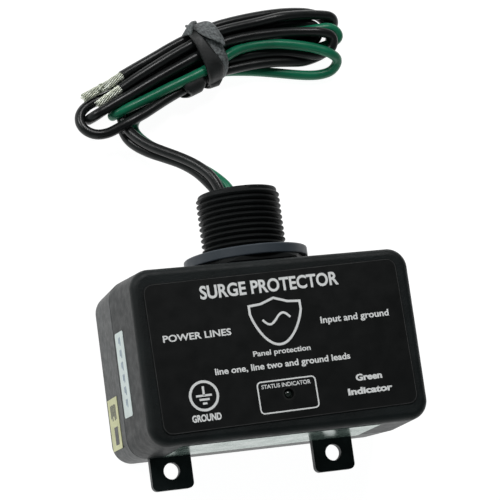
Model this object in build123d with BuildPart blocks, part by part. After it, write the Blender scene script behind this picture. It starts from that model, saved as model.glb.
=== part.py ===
"""Whole house surge protector: a sealed two-part box on a threaded conduit nipple, with three leads in a tied hank.

The back of the box stands on Z = 0 and its front label faces +Z. The nipple points along +Y and the two mounting
tabs along -Y. The origin is the centre of the back face. Lengths are millimetres.
"""

import os
from math import cos, pi, radians, sin, tan

from build123d import *

os.makedirs("parts", exist_ok=True)

# ---------------------------------------------------------------- driving dimensions
seam_width = 91.4  # outside of the box at the seam, its widest level
seam_height = 55.6
rear_depth = 23.4  # rear cover, back face to seam
front_depth = 24.8  # front housing, seam to front face
front_slope = 0.037  # draft of the walls, millimetres inward per millimetre of depth
rear_slope = 0.025
wall = 2.4
corner_radius = 6.2
front_edge_radius = 2.3
rear_edge_radius = 1.8
seam_bevel = 0.25

lip_thickness = 1.0  # lip of the rear cover, inside the front housing
lip_height = 1.5
lip_clearance = 0.12

tab_centre_x = -5.6  # middle of the pair of mounting tabs
tab_spacing = 53.2
tab_width = 13.2
tab_end_y = -38.1
tab_front_z = 21.4
tab_thickness = 2.2
tab_hole_radius = 2.6
tab_hole_y = -32.3
tab_corner_radius = 1.8

nipple_z = 24.2  # height of the nipple's axis
thread_radius = 13.335  # 3/4 inch straight pipe thread, 14 turns per inch
thread_pitch = 25.4 / 14
thread_depth = 1.15
thread_crest = 0.36
thread_turns = 11
first_crest_y = 50.85
mouth_y = 52.8
lead_in_radius = 12.65
bore_radius = 10.25
neck_radius = 13.2
flange_y = 27.8
flange_thickness = 1.6
flange_across_flats = 36.5
flange_bevel_radius = 19.4
collar_radius = 16.0
collar_y = 22.5
collar_thickness = 2.1
lip_gap = 2 * collar_radius + 1.0  # the lip leaves room for the collar
pad_radius = 17.9
pad_depth = 1.6

washer_outer_radius = 19.65
washer_inner_radius = 13.6
washer_thickness = 3.3

label_width = 81.8
label_height = 45.7
label_turn = 1.15  # degrees that the front label is stuck on askew
label_thickness = 0.25
label_radius = 3.0
film_thickness = 0.15  # the three stickers on the walls
film_lift = 0.01

led_y = -15.0
led_radius = 1.5
bezel_radius = 2.1
bezel_bore = 1.6

board_width, board_height, board_thickness = 79.0, 42.0, 1.6
board_y = -1.5
board_z = 34.0
boss_x, boss_y = 35.5, 17.0
boss_radius = 3.0
pilot_radius = 1.1

lead_radius = 1.65  # 12 AWG building wire over its insulation
seal_face_y = 42.0  # the compound that seals the leads into the nipple ends here
seal_depth = 10.0
strand_radius = 1.2  # bare twisted conductor
hank_height = 9.2

# ---------------------------------------------------------------- derived levels
seam_z = rear_depth
front_z = rear_depth + front_depth
front_width = seam_width - 2 * front_slope * front_depth
front_height = seam_height - 2 * front_slope * front_depth
rear_width = seam_width - 2 * rear_slope * rear_depth
rear_height = seam_height - 2 * rear_slope * rear_depth
label_z = front_z + label_thickness
inner_radius = corner_radius - wall
washer_y = flange_y + flange_thickness
nipple_plane = Plane(origin=(0, 0, nipple_z), x_dir=(1, 0, 0), z_dir=(0, 1, 0))


def finish(piece, label):
    """Names a finished piece and writes it to its own file."""
    piece.part.label = label
    export_step(piece.part, f"parts/{label}.step")


def front_half_width(z):
    """Half the outside width of the front housing at height z."""
    return seam_width / 2 - front_slope * (z - seam_z)


# ---------------------------------------------------------------- front housing
with BuildPart() as front_housing:
    with BuildSketch(Plane.XY.offset(seam_z)):
        RectangleRounded(seam_width - 2 * seam_bevel, seam_height - 2 * seam_bevel, corner_radius - seam_bevel)
    with BuildSketch(Plane.XY.offset(seam_z + seam_bevel)):
        RectangleRounded(seam_width, seam_height, corner_radius)
    with BuildSketch(Plane.XY.offset(front_z)):
        RectangleRounded(front_width, front_height, corner_radius)
    loft(ruled=True)
    fillet(front_housing.faces().sort_by(Axis.Z)[-1].edges(), front_edge_radius)
    # flat pad under the nipple's flange
    with BuildSketch(nipple_plane.offset(flange_y)):
        Circle(pad_radius)
    extrude(amount=-pad_depth)
    split(bisect_by=Plane.XY.offset(seam_z), keep=Keep.TOP)
    # inside of the shell
    with BuildSketch(Plane.XY.offset(seam_z)):
        RectangleRounded(seam_width - 2 * wall, seam_height - 2 * wall, inner_radius)
    with BuildSketch(Plane.XY.offset(front_z - wall)):
        RectangleRounded(front_width - 2 * wall, front_height - 2 * wall, inner_radius)
    loft(ruled=True, mode=Mode.SUBTRACT)
    # half-round seat of the nipple's neck
    with BuildSketch(nipple_plane.offset(flange_y + 1)):
        Circle(neck_radius + 0.1)
    extrude(amount=-6, mode=Mode.SUBTRACT)
    # bosses for the circuit board
    with BuildSketch(Plane.XY.offset(board_z + board_thickness)):
        with GridLocations(2 * boss_x, 2 * boss_y, 2, 2):
            Circle(boss_radius)
    extrude(until=Until.NEXT)
    with BuildSketch(Plane.XY.offset(board_z + board_thickness)):
        with GridLocations(2 * boss_x, 2 * boss_y, 2, 2):
            Circle(pilot_radius)
    extrude(amount=8, mode=Mode.SUBTRACT)
    # hole for the lamp's bezel
    with BuildSketch(Plane.XY.offset(front_z)):
        with Locations((0, led_y)):
            Circle(bezel_radius + 0.02)
    extrude(amount=-wall - 1, mode=Mode.SUBTRACT)
finish(front_housing, "front_housing")

# ---------------------------------------------------------------- rear cover
lip_width = seam_width - 2 * wall - 2 * front_slope * lip_height - 2 * lip_clearance
lip_length = seam_height - 2 * wall - 2 * front_slope * lip_height - 2 * lip_clearance
with BuildPart() as rear_cover:
    with BuildSketch(Plane.XY):
        RectangleRounded(rear_width, rear_height, corner_radius)
    with BuildSketch(Plane.XY.offset(seam_z - seam_bevel)):
        RectangleRounded(seam_width, seam_height, corner_radius)
    with BuildSketch(Plane.XY.offset(seam_z)):
        RectangleRounded(seam_width - 2 * seam_bevel, seam_height - 2 * seam_bevel, corner_radius - seam_bevel)
    loft(ruled=True)
    fillet(rear_cover.faces().sort_by(Axis.Z)[0].edges(), rear_edge_radius)
    # flat pad under the nipple's flange
    with BuildSketch(nipple_plane.offset(flange_y)):
        Circle(pad_radius)
    extrude(amount=-pad_depth)
    split(bisect_by=Plane.XY.offset(seam_z), keep=Keep.BOTTOM)
    # mounting tabs
    tab_root_y = -seam_height / 2 + 1.5
    tab_middle_y = (tab_root_y + tab_end_y) / 2
    with BuildSketch(Plane.XY.offset(tab_front_z)):
        for side in (-1, 1):
            with Locations((tab_centre_x + side * tab_spacing / 2, tab_middle_y)):
                Rectangle(tab_width, tab_root_y - tab_end_y)
    extrude(amount=-tab_thickness)
    tab_corners = rear_cover.edges().filter_by(Axis.Z).group_by(Axis.Y)[0]
    fillet(tab_corners, tab_corner_radius)
    with BuildSketch(Plane.XY.offset(tab_front_z)):
        for side in (-1, 1):
            with Locations((tab_centre_x + side * tab_spacing / 2, tab_hole_y)):
                Circle(tab_hole_radius)
    extrude(amount=-tab_thickness, mode=Mode.SUBTRACT)
    # inside of the shell
    with BuildSketch(Plane.XY.offset(wall)):
        RectangleRounded(rear_width - 2 * wall, rear_height - 2 * wall, inner_radius)
    with BuildSketch(Plane.XY.offset(seam_z)):
        RectangleRounded(seam_width - 2 * wall, seam_height - 2 * wall, inner_radius)
    loft(ruled=True, mode=Mode.SUBTRACT)
    # lip that lines the seam on the inside
    with BuildSketch(Plane.XY.offset(seam_z - lip_height)):
        RectangleRounded(lip_width, lip_length, inner_radius)
        RectangleRounded(
            lip_width - 2 * lip_thickness, lip_length - 2 * lip_thickness, inner_radius - lip_thickness,
            mode=Mode.SUBTRACT,
        )
        with Locations((0, lip_length / 2)):
            Rectangle(lip_gap, 4, mode=Mode.SUBTRACT)
    extrude(amount=2 * lip_height)
    with BuildSketch(Plane.XY.offset(seam_z - lip_height)):
        RectangleRounded(seam_width - wall, seam_height - wall, inner_radius + wall / 2)
        RectangleRounded(
            lip_width - lip_thickness, lip_length - lip_thickness, inner_radius - lip_thickness / 2,
            mode=Mode.SUBTRACT,
        )
        with Locations((0, lip_length / 2)):
            Rectangle(lip_gap, 4, mode=Mode.SUBTRACT)
    extrude(amount=lip_height)
    # half-round seat of the nipple's neck
    with BuildSketch(nipple_plane.offset(flange_y + 1)):
        Circle(neck_radius + 0.1)
    extrude(amount=-8, mode=Mode.SUBTRACT)
finish(rear_cover, "rear_cover")

# ---------------------------------------------------------------- labels
with BuildPart() as front_label:
    with BuildSketch(Plane.XY.offset(front_z)):
        RectangleRounded(label_width, label_height, label_radius, rotation=label_turn)
        with Locations((0, led_y)):
            Circle(bezel_radius + 0.05, mode=Mode.SUBTRACT)
    extrude(amount=label_thickness)
finish(front_label, "front_label")

# the two small stickers lie on the sloping left wall, one on each side of the seam
front_wall_normal = Vector(-1, 0, front_slope).normalized()
side_label_z, side_label_y = 29.5, -2.0
with BuildPart() as side_label:
    side_label_plane = Plane(
        origin=Vector(-front_half_width(side_label_z), side_label_y, side_label_z) + film_lift * front_wall_normal,
        x_dir=(0, 1, 0),
        z_dir=front_wall_normal,
    )
    with BuildSketch(side_label_plane):
        RectangleRounded(26.2, 8.6, 0.8)
    extrude(amount=film_thickness)
finish(side_label, "side_label")

rear_wall_normal = Vector(-1, 0, -rear_slope).normalized()
rating_label_z, rating_label_y = 10.3, -15.0
rating_label_x = -(seam_width / 2 - rear_slope * (seam_z - rating_label_z))
with BuildPart() as rating_label:
    rating_label_plane = Plane(
        origin=Vector(rating_label_x, rating_label_y, rating_label_z) + film_lift * rear_wall_normal,
        x_dir=(0, 1, 0),
        z_dir=rear_wall_normal,
    )
    with BuildSketch(rating_label_plane):
        Rectangle(16.2, 13.6)
    extrude(amount=film_thickness)
finish(rating_label, "rating_label")

# clear film on the bottom wall, folded over the seam
film_left, film_right = -34.6, 29.3
film_rear_z, film_front_z = 21.6, 45.2
with BuildPart() as bottom_label:
    with BuildSketch(Plane.YZ.offset(film_left)):
        with BuildLine():
            inner_line = [
                (-seam_height / 2 + rear_slope * (seam_z - film_rear_z) - film_lift, film_rear_z),
                (-seam_height / 2 - film_lift, seam_z),
                (-seam_height / 2 + front_slope * (film_front_z - seam_z) - film_lift, film_front_z),
            ]
            outer_line = [(y - film_thickness, z) for y, z in reversed(inner_line)]
            Polyline(*inner_line, *outer_line, close=True)
        make_face()
    extrude(amount=film_right - film_left)
finish(bottom_label, "bottom_label")

# ---------------------------------------------------------------- conduit nipple
root_radius = thread_radius - thread_depth
flank = (thread_pitch - thread_crest) / 2
with BuildPart() as conduit_nipple:
    # profile of the tube, right of the axis: radius, then distance along the axis
    with BuildSketch(Plane(origin=(0, 0, nipple_z), x_dir=(1, 0, 0), z_dir=(0, 0, 1))):
        with BuildLine():
            outline = [
                (bore_radius, collar_y),
                (collar_radius, collar_y),
                (collar_radius, collar_y + collar_thickness),
                (neck_radius, collar_y + collar_thickness),
                (neck_radius, flange_y),
                (root_radius, flange_y),
            ]
            for turn in reversed(range(thread_turns)):
                crest_y = first_crest_y - turn * thread_pitch
                outline += [
                    (root_radius, crest_y - thread_pitch / 2 + 0.1),
                    (thread_radius, crest_y - thread_crest / 2),
                    (thread_radius, crest_y + thread_crest / 2),
                    (root_radius, crest_y + thread_pitch / 2 - 0.1),
                ]
            outline += [
                (lead_in_radius, first_crest_y + flank + 0.15),
                (lead_in_radius, mouth_y - 0.4),
                (lead_in_radius - 0.4, mouth_y),
                (bore_radius + 0.5, mouth_y),
                (bore_radius, mouth_y - 0.5),
            ]
            Polyline(*outline, close=True)
        make_face()
    revolve(axis=Axis((0, 0, nipple_z), (0, 1, 0)))
    # hexagonal flange with its corners bevelled to a circle
    with BuildSketch(nipple_plane.offset(flange_y)):
        RegularPolygon(flange_across_flats / 2, 6, major_radius=False, rotation=0)
        Circle(root_radius - 0.5, mode=Mode.SUBTRACT)
    extrude(amount=flange_thickness)
    with BuildSketch(Plane(origin=(0, 0, nipple_z), x_dir=(1, 0, 0), z_dir=(0, 0, 1))):
        with BuildLine():
            Polyline(
                (flange_bevel_radius, washer_y),
                (flange_bevel_radius + 4, washer_y),
                (flange_bevel_radius + 4, washer_y - 4 * tan(radians(35))),
                close=True,
            )
        make_face()
    revolve(axis=Axis((0, 0, nipple_z), (0, 1, 0)), mode=Mode.SUBTRACT)
finish(conduit_nipple, "conduit_nipple")

with BuildPart() as sealing_washer:
    with BuildSketch(nipple_plane.offset(washer_y)):
        Circle(washer_outer_radius)
        Circle(washer_inner_radius, mode=Mode.SUBTRACT)
    extrude(amount=washer_thickness)
    fillet(sealing_washer.edges().filter_by(GeomType.CIRCLE).sort_by(SortBy.RADIUS)[-2:], 0.5)
finish(sealing_washer, "sealing_washer")

# ---------------------------------------------------------------- status lamp
with BuildPart() as led_bezel:
    with BuildSketch(Plane.XY.offset(front_z - wall)):
        with Locations((0, led_y)):
            Circle(bezel_radius)
            Circle(bezel_bore, mode=Mode.SUBTRACT)
    extrude(amount=wall + label_thickness)
finish(led_bezel, "led_bezel")

led_shoulder_z = front_z - wall - 2.4
with BuildPart() as status_led:
    with BuildSketch(Plane.XY.offset(led_shoulder_z)):
        with Locations((0, led_y)):
            Circle(1.9)
    extrude(amount=0.9)
    with BuildSketch(Plane.XY.offset(led_shoulder_z)):
        with Locations((0, led_y)):
            Circle(led_radius)
    extrude(amount=label_z - led_shoulder_z - 1.2)
    with Locations((0, led_y, label_z - 1.2)):
        Sphere(led_radius, arc_size1=0)
    with BuildSketch(Plane.XY.offset(board_z + board_thickness)):
        with Locations((-0.64, led_y), (0.64, led_y)):
            Rectangle(0.5, 0.5)
    extrude(amount=led_shoulder_z - board_z - board_thickness)
finish(status_led, "status_led")

# ---------------------------------------------------------------- circuit board and what it carries
with BuildPart() as circuit_board:
    with BuildSketch(Plane.XY.offset(board_z)):
        with Locations((0, board_y)):
            RectangleRounded(board_width, board_height, 2)
        with GridLocations(2 * boss_x, 2 * boss_y, 2, 2):
            Circle(1.6, mode=Mode.SUBTRACT)
    extrude(amount=board_thickness)
finish(circuit_board, "circuit_board")

screw_head_radius, screw_head_height = 2.6, 1.8
with BuildPart() as board_screws:
    with BuildSketch(Plane.XY.offset(board_z - screw_head_height)):
        with GridLocations(2 * boss_x, 2 * boss_y, 2, 2):
            Circle(screw_head_radius)
    extrude(amount=screw_head_height)
    with BuildSketch(Plane.XY.offset(board_z - 0.1)):
        with GridLocations(2 * boss_x, 2 * boss_y, 2, 2):
            Circle(pilot_radius - 0.05)
    extrude(amount=board_thickness + 6)
    with BuildSketch(Plane.XY.offset(board_z - screw_head_height)):
        with GridLocations(2 * boss_x, 2 * boss_y, 2, 2):
            Rectangle(3.6, 0.6)
            Rectangle(0.6, 3.6)
    extrude(amount=0.9, mode=Mode.SUBTRACT)
finish(board_screws, "board_screws")

# disc varistors stand on edge under the board, three on each side of the leads
varistor_radius, varistor_thickness, varistor_y = 10.0, 4.6, -3.5
leg_radius = 0.4
leg_length = 1.6
varistor_z = board_z - leg_length - varistor_radius
for number, varistor_x in enumerate((-36.0, -28.5, -21.0, 21.0, 28.5, 36.0), start=1):
    with BuildPart() as varistor:
        with BuildSketch(Plane.YZ.offset(varistor_x - varistor_thickness / 2)):
            with Locations((varistor_y, varistor_z)):
                Circle(varistor_radius)
        extrude(amount=varistor_thickness)
        fillet(varistor.edges().filter_by(GeomType.CIRCLE), 1.4)
        with BuildSketch(Plane.XY.offset(board_z)):
            with Locations((varistor_x - 1, varistor_y - 3.8), (varistor_x + 1, varistor_y + 3.8)):
                Circle(leg_radius)
        extrude(amount=-leg_length - 3)
    finish(varistor, f"varistor_{number}")

# thermal fuses lie along X beside the varistors that they guard
fuse_radius, fuse_length, fuse_y, fuse_wire_half = 2.0, 11.0, 12.0, 7.5
fuse_z = board_z - 3.2
for number, fuse_x in enumerate((-28.0, 28.0), start=1):
    with BuildPart() as thermal_fuse:
        with BuildSketch(Plane.YZ.offset(fuse_x - fuse_length / 2)):
            with Locations((fuse_y, fuse_z)):
                Circle(fuse_radius)
        extrude(amount=fuse_length)
        with BuildSketch(Plane.YZ.offset(fuse_x - fuse_wire_half)):
            with Locations((fuse_y, fuse_z)):
                Circle(leg_radius)
        extrude(amount=2 * fuse_wire_half)
        with BuildSketch(Plane.XY.offset(board_z)):
            with Locations((fuse_x - fuse_wire_half, fuse_y), (fuse_x + fuse_wire_half, fuse_y)):
                Circle(leg_radius)
        extrude(amount=fuse_z - board_z - leg_radius)
    finish(thermal_fuse, f"thermal_fuse_{number}")

with BuildPart() as filter_capacitor:
    with BuildSketch(Plane.XY.offset(board_z)):
        with Locations((0, -14.5)):
            Rectangle(13, 6.5)
    extrude(amount=-11)
    fillet(filter_capacitor.edges().filter_by(Axis.Z), 0.6)
finish(filter_capacitor, "filter_capacitor")

with BuildPart() as indicator_resistors:
    resistor_z = board_z - 1.7
    with BuildSketch(Plane.YZ.offset(-16.5)):
        with Locations((-16.5, resistor_z), (-11.5, resistor_z)):
            Circle(1.6)
    extrude(amount=7)
finish(indicator_resistors, "indicator_resistors")

with BuildPart() as bridge_rectifier:
    with BuildSketch(Plane.XY.offset(board_z)):
        with Locations((12.6, -14.5)):
            Rectangle(6.4, 8.2)
    extrude(amount=-3)
    chamfer(bridge_rectifier.faces().sort_by(Axis.Z)[0].edges(), 0.5)
finish(bridge_rectifier, "bridge_rectifier")

# ---------------------------------------------------------------- hank and its tie
tie_x, tie_y, tie_turn = 2.6, 104.6, 12.0
waist_half_width = 7.8
waist_bottom, waist_top = 1.3, 10.0
tie_half_width = 3.5
tie_thickness = 1.3
tie_gap = 0.1
axis_x, axis_y = cos(radians(tie_turn)), sin(radians(tie_turn))


def beside_tie(along, across):
    """A point on the table, given along and across the hank at the tie."""
    return (tie_x + along * axis_x - across * axis_y, tie_y + along * axis_y + across * axis_x)


lobe_start = tie_half_width + tie_gap
left_outline = [
    beside_tie(-lobe_start, waist_half_width),
    (-15.5, 107.2),
    (-27.3, 100.4),
    (-26.2, 97.4),
    (-28.4, 94.4),
    (-28.2, 91.2),
    (-36.4, 86.9),
    (-40.0, 86.6),
    (-41.6, 89.4),
    (-43.6, 88.2),
    (-44.8, 84.7),
    (-42.6, 80.0),
    (-37.2, 77.8),
    (-31.4, 79.7),
    (-23.6, 82.8),
    (-18.6, 86.2),
    (-9.1, 91.6),
    beside_tie(-lobe_start, -waist_half_width),
]
right_outline = [
    beside_tie(lobe_start, -waist_half_width),
    (20.6, 95.6),
    (38.0, 93.2),
    (44.5, 93.9),
    (48.8, 97.5),
    (47.6, 103.0),
    (50.6, 108.3),
    (50.6, 113.6),
    (46.4, 117.2),
    (40.4, 119.0),
    (32.5, 118.9),
    (19.4, 116.6),
    beside_tie(lobe_start, waist_half_width),
]
with BuildPart() as lead_hank:
    for outline in (left_outline, right_outline):
        with BuildSketch(Plane.XY):
            with BuildLine():
                Polyline(*outline, close=True)
            make_face()
        extrude(amount=hank_height)
    with BuildSketch(Plane.XY.offset(waist_bottom)):
        with Locations(Location((tie_x, tie_y), tie_turn)):
            Rectangle(2 * lobe_start + 2, 2 * waist_half_width)
    extrude(amount=waist_top - waist_bottom)
finish(lead_hank, "lead_hank")

with BuildPart() as wire_tie:
    tie_plane = Plane(origin=(tie_x, tie_y, 0), x_dir=(-axis_y, axis_x, 0), z_dir=(axis_x, axis_y, 0))
    with BuildSketch(tie_plane.offset(-tie_half_width)):
        with Locations((0, (waist_top + waist_bottom) / 2)):
            RectangleRounded(2 * waist_half_width + 2 * tie_thickness, waist_top + 1.3, 1.2)
            Rectangle(2 * waist_half_width, waist_top - waist_bottom, mode=Mode.SUBTRACT)
    extrude(amount=2 * tie_half_width)
finish(wire_tie, "wire_tie")

# ---------------------------------------------------------------- leads
# the three leads run as one loose bundle from the seal inside the nipple, out of its mouth and down to the table,
# into the hank: the bundle's middle line, how far it has turned (degrees), and how far each lead lies from it to
# the side and in depth
bundle = [
    (-2.1, seal_face_y, 21.3, 0, 2.65, 2.65),
    (-2.1, 47.7, 21.3, 0, 2.65, 2.65),
    (-3.1, 54.3, 20.6, -15, 2.3, 2.6),
    (-5.7, 59.2, 18.8, -45, 1.9, 2.9),
    (-8.6, 63.1, 16.3, -58, 1.35, 3.3),
    (-12.6, 66.8, 13.5, -60, 1.1, 3.4),
    (-17.4, 69.9, 10.8, -60, 1.2, 3.4),
    (-21.7, 72.6, 8.5, -57, 1.45, 3.2),
    (-25.4, 76.0, 6.6, -50, 1.8, 2.7),
    (-27.8, 79.9, 5.0, -40, 1.95, 2.3),
    (-28.9, 83.8, 3.8, -25, 1.95, 1.95),
]
bundle_top = Vector(-0.31, -0.16, 0.94).normalized()
bundle_place = {"black_lead_a": 120, "black_lead_b": 240, "green_lead": 0}


def bundle_route(place):
    """The route of one lead: the bundle's middle line, offset to the lead's place around it."""
    middles = [Vector(*station[:3]) for station in bundle]
    # the first two stations are square to the nipple
    forwards = [Vector(0, 1, 0)] * 2
    forwards += [(after - before).normalized() for before, after in zip(middles[1:], middles[3:] + middles[-1:])]
    route = []
    for middle, forward, (_, _, _, turn, width, depth) in zip(middles, forwards, bundle):
        top = (bundle_top - forward * bundle_top.dot(forward)).normalized()
        angle = radians(place + turn)
        offset = forward.cross(top) * width * cos(angle) + top * depth * sin(angle)
        route.append(tuple(middle + offset))
    return route


routes = {name: bundle_route(place) for name, place in bundle_place.items()}
# inside the box each lead fans out to its own terminal on the board
terminal_x = {"black_lead_a": -9.0, "black_lead_b": 0.0, "green_lead": 9.0}
terminal_y, terminal_z = 5.0, 25.0
lead_socket_depth = 6.0


def corner_radii(points):
    """The bend at each corner of a route: 0.45 of its shorter run, over the tangent of half the turn."""
    radii = []
    for before, corner, after in zip(points, points[1:], points[2:]):
        arriving = Vector(*corner) - Vector(*before)
        leaving = Vector(*after) - Vector(*corner)
        half_turn = radians(arriving.get_angle(leaving)) / 2
        radii.append(0.45 * min(arriving.length, leaving.length) / tan(half_turn))
    return radii


def lead_tube(points, label):
    """A length of lead along a route of straight runs and arcs, trimmed where it enters the hank."""
    radii = corner_radii(points)
    with BuildPart() as tube:
        with BuildLine():
            route = FilletPolyline(*points, radius=radii)
        with BuildSketch(Plane(origin=route @ 0, z_dir=route % 0)):
            Circle(lead_radius)
        sweep()
        volume = tube.part.volume
        add(lead_hank.part, mode=Mode.SUBTRACT)
    finish(tube, label)
    expected = pi * lead_radius**2 * route.length
    print(
        f"{label}: length {route.length:.1f} mm, smallest radius {min(radii):.1f} mm,"
        f" volume {volume:.1f} of {expected:.1f} mm3"
    )


for name, points in routes.items():
    lead_tube(points, name)

for name, points in routes.items():
    exit_x, _, exit_z = points[0]
    inner_route = [
        (exit_x, seal_face_y, exit_z),
        (exit_x, 25.0, exit_z),
        (terminal_x[name], 14.0, terminal_z),
        (terminal_x[name], terminal_y + 2.6, terminal_z),
    ]
    lead_tube(inner_route, f"{name}_inside")

for name, label in (
    ("black_lead_a", "line_terminal_a"),
    ("black_lead_b", "line_terminal_b"),
    ("green_lead", "ground_terminal"),
):
    with BuildPart() as terminal:
        with BuildSketch(Plane.XY.offset(board_z)):
            with Locations((terminal_x[name], terminal_y)):
                Rectangle(5.6, 8)
        extrude(amount=terminal_z - board_z - 3)
        with BuildSketch(Plane.XZ.offset(-terminal_y - 4)):
            with Locations((terminal_x[name], terminal_z)):
                Circle(lead_radius + 0.1)
        extrude(amount=lead_socket_depth, mode=Mode.SUBTRACT)
    finish(terminal, label)

# plug that seals the leads in the nipple's bore
with BuildPart() as lead_seal:
    with BuildSketch(nipple_plane.offset(seal_face_y)):
        Circle(bore_radius - 0.05)
        for exit_x, _, exit_z in (points[0] for points in routes.values()):
            with Locations((exit_x, nipple_z - exit_z)):
                Circle(lead_radius + 0.05, mode=Mode.SUBTRACT)
    extrude(amount=-seal_depth)
finish(lead_seal, "lead_seal")

# ---------------------------------------------------------------- bare ends
# bare conductor at the far end of each lead: from the insulation to the tip
bare_ends = {
    "black_lead_a_end": ((-27.2, 98.4, 6.3), (-35.8, 94.3, 7.4)),
    "green_lead_end": ((-29.6, 96.0, 3.8), (-41.8, 91.3, 5.6)),
    "black_lead_b_end": ((-28.2, 93.7, 7.2), (-37.0, 88.9, 6.4)),
}
for label, (start, tip) in bare_ends.items():
    with BuildPart() as bare_end:
        run = Vector(*tip) - Vector(*start)
        with BuildSketch(Plane(origin=start, z_dir=run)):
            Circle(strand_radius)
        extrude(amount=run.length)
        add(lead_hank.part, mode=Mode.SUBTRACT)
    finish(bare_end, label)
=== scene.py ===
"""Looks of the whole house surge protector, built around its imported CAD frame.

Lengths are metres in the frame of the part: the box lies on its back on Z = 0, its front label faces +Z and
its nipple points along +Y. MM turns millimetres into metres.
"""

import math

import bpy
import numpy as np
from mathutils import Matrix, Vector


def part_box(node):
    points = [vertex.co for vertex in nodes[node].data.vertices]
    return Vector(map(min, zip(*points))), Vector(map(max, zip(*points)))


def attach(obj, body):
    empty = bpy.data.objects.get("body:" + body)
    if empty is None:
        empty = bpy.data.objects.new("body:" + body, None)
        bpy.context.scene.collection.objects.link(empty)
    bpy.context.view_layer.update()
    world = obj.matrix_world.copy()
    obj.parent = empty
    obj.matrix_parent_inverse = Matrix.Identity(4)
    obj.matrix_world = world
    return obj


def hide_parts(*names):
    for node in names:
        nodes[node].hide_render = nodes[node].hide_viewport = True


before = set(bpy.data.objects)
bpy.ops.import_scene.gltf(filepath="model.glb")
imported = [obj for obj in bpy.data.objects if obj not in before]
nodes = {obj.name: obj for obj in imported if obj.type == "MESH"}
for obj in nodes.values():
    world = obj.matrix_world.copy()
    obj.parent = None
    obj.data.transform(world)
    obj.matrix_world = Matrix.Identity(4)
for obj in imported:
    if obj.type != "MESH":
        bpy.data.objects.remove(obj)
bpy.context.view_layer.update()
MM = 0.001
BODY = "enclosure"


# ---------------------------------------------------------------- camera, floor and light
def look(camera_place, right, up, back, lens):
    """A camera from its place and its three axes."""
    data = bpy.data.cameras.new("camera")
    data.lens = lens
    data.sensor_width = 36
    data.clip_start = 0.01
    data.clip_end = 20
    camera = bpy.data.objects.new("camera", data)
    axes = Matrix((right, up, back)).transposed().to_4x4()
    camera.matrix_world = Matrix.Translation(camera_place) @ axes
    bpy.context.scene.collection.objects.link(camera)
    bpy.context.scene.camera = camera


look(
    Vector((-208.7, -77.0, 668.8)) * MM,
    Vector((0.9485, -0.1352, 0.2865)).normalized(),
    Vector((0.0805, 0.9775, 0.1948)).normalized(),
    Vector((-0.3064, -0.1617, 0.9381)).normalized(),
    lens=156,
)


def lamp(name, place, target, size, power):
    """A square soft light that faces its target."""
    data = bpy.data.lights.new(name, "AREA")
    data.size = size
    data.energy = power
    light = bpy.data.objects.new(name, data)
    light.location = place
    light.rotation_euler = (Vector(target) - Vector(place)).to_track_quat("-Z", "Y").to_euler()
    bpy.context.scene.collection.objects.link(light)


centre = Vector((0, 0.04, 0.02))
lamp("key", (-1.3, 1.2, 1.3), centre, 0.7, 15)
lamp("top", (0.25, 1.35, 1.6), centre, 0.6, 16)
lamp("front", (-0.4, -1.8, 1.0), centre, 1.2, 2.5)

world = bpy.data.worlds.new("studio")
world.use_nodes = True
bpy.context.scene.world = world
bpy.context.scene.view_settings.view_transform = "Standard"
sky = world.node_tree
direction = sky.nodes.new("ShaderNodeTexCoord")
split = sky.nodes.new("ShaderNodeSeparateXYZ")
height = sky.nodes.new("ShaderNodeValToRGB")
sky.links.new(direction.outputs["Generated"], split.inputs[0])
sky.links.new(split.outputs["Z"], height.inputs["Fac"])
sky.links.new(height.outputs["Color"], sky.nodes["Background"].inputs["Color"])
# the strength falls from the near left wall to the far right one
slant = sky.nodes.new("ShaderNodeVectorMath")
slant.operation = "DOT_PRODUCT"
slant.inputs[1].default_value = (0.6, 0.8, 0)
fall = sky.nodes.new("ShaderNodeMapRange")
fall.inputs["From Min"].default_value = -0.6
fall.inputs["From Max"].default_value = 0.6
fall.inputs["To Min"].default_value = 0.42
fall.inputs["To Max"].default_value = 0.12
sky.links.new(direction.outputs["Generated"], slant.inputs[0])
sky.links.new(slant.outputs["Value"], fall.inputs["Value"])
sky.links.new(fall.outputs["Result"], sky.nodes["Background"].inputs["Strength"])
# bright walls around the object, and a dark ceiling above it
height.color_ramp.elements[0].position = 0.45
height.color_ramp.elements[0].color = (0.86, 1.0, 0.98, 1)
height.color_ramp.elements[1].position = 0.85
height.color_ramp.elements[1].color = (0.03, 0.035, 0.037, 1)


# ---------------------------------------------------------------- materials
def shader_of(name):
    """A new material with its node tree and its Principled shader."""
    made = bpy.data.materials.new(name)
    made.use_nodes = True
    return made, made.node_tree, made.node_tree.nodes["Principled BSDF"]


def noise(tree, scale, detail=3.0, stretch=(1, 1, 1)):
    """A procedural noise over the piece's own coordinates, with scale in features per metre."""
    where = tree.nodes.new("ShaderNodeTexCoord")
    mapping = tree.nodes.new("ShaderNodeMapping")
    mapping.inputs["Scale"].default_value = stretch
    tree.links.new(where.outputs["Object"], mapping.inputs["Vector"])
    made = tree.nodes.new("ShaderNodeTexNoise")
    made.inputs["Scale"].default_value = scale
    made.inputs["Detail"].default_value = detail
    tree.links.new(mapping.outputs["Vector"], made.inputs["Vector"])
    return made.outputs[0]


def ramp(tree, source, low, high, start=0.35, end=0.65):
    """Two colours mixed by a texture."""
    made = tree.nodes.new("ShaderNodeValToRGB")
    made.color_ramp.elements[0].position = start
    made.color_ramp.elements[0].color = (*low, 1)
    made.color_ramp.elements[1].position = end
    made.color_ramp.elements[1].color = (*high, 1)
    tree.links.new(source, made.inputs["Fac"])
    return made.outputs["Color"]


def levels(tree, source, low, high):
    """A texture stretched to the range low to high."""
    made = tree.nodes.new("ShaderNodeMapRange")
    made.inputs["From Min"].default_value = 0.3
    made.inputs["From Max"].default_value = 0.7
    made.inputs["To Min"].default_value = low
    made.inputs["To Max"].default_value = high
    tree.links.new(source, made.inputs["Value"])
    return made.outputs["Result"]


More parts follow.
